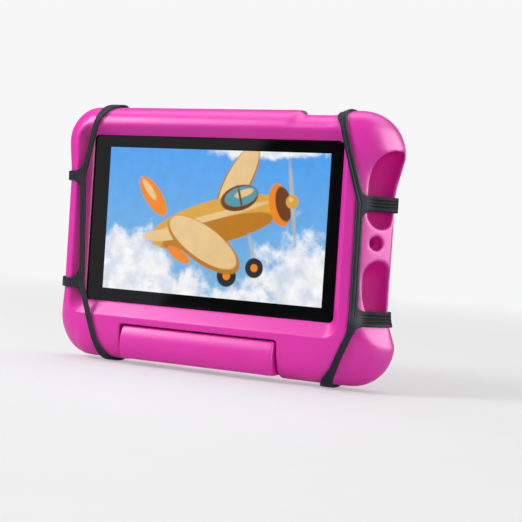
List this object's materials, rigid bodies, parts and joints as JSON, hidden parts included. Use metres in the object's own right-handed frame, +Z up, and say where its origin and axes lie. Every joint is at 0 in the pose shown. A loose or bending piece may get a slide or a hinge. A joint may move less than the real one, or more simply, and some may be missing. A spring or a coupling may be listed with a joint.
{
  "type": "portable media player",
  "caption": "Flat media player in a soft bumper case with a fold-out carry handle, held in a rubber harness for a seat headrest.",
  "frame": {"origin": "middle of the bounding box at the bottom, below the lower corners of the case", "axes": "+Z up as it hangs, +Y from the screen to the back, +X to the viewer's right; the screen faces -Y"},
  "size_m": [0.2327, 0.032, 0.1643],
  "materials": {
    "foam": "satin skinned foam, saturated pink",
    "rubber": "satin black rubber",
    "glass": "polished black-backed glass",
    "display": "lit display behind the glass",
    "plastic": "fine matt moulded black",
    "board": "solder-masked board",
    "battery": "laminated foil pouch",
    "steel": "tinned or plated steel"
  },
  "bodies": {
    "player_and_case": {"bumper_case": "foam", "harness_left": "rubber", "harness_right": "rubber", "headrest_pad_left": "rubber", "headrest_pad_right": "rubber", "touch_glass": "glass", "rear_camera_lens": "glass", "display_panel": "display", "mid_frame": "plastic", "rear_cover": "plastic", "headphone_jack": "plastic", "front_camera": "plastic", "rear_camera": "plastic", "speaker_upper": "plastic", "speaker_lower": "plastic", "battery_lead": "plastic", "main_board": "board", "display_cable": "board", "battery_pack": "battery", "processor_shield": "steel", "wireless_module": "steel", "card_socket": "steel", "microphone": "steel", "charge_port": "steel", "power_switch": "steel", "volume_switch": "steel", "board_screw_1": "steel", "board_screw_2": "steel", "board_screw_3": "steel", "board_screw_4": "steel", "pivot_pin_left": "steel", "pivot_pin_right": "steel", "pad_rivet_upper_left": "steel", "pad_rivet_lower_left": "steel", "pad_rivet_upper_right": "steel", "pad_rivet_lower_right": "steel"},
    "carry_handle": {"carry_handle": "foam"},
    "power_button": {"power_button": "plastic"},
    "volume_rocker": {"volume_rocker": "plastic"}
  },
  "joints": [
    {"name": "handle_swing", "type": "hinge", "parent": "player_and_case", "child": "carry_handle", "pos_m": [-0.0052, 0.00795, 0.0974], "axis": [1, 0, 0], "range_deg": [0, 180]},
    {"name": "power_press", "type": "slide", "parent": "player_and_case", "child": "power_button", "axis": [-1, 0, 0], "range_m": [0, 0.0005], "stiffness_N_per_m": 3000},
    {"name": "volume_rock", "type": "hinge", "parent": "player_and_case", "child": "volume_rocker", "pos_m": [0.0627, -0.00145, 0.1454], "axis": [0, 1, 0], "range_deg": [-1.2, 1.2], "stiffness_Nm_per_rad": 2}
  ]
}
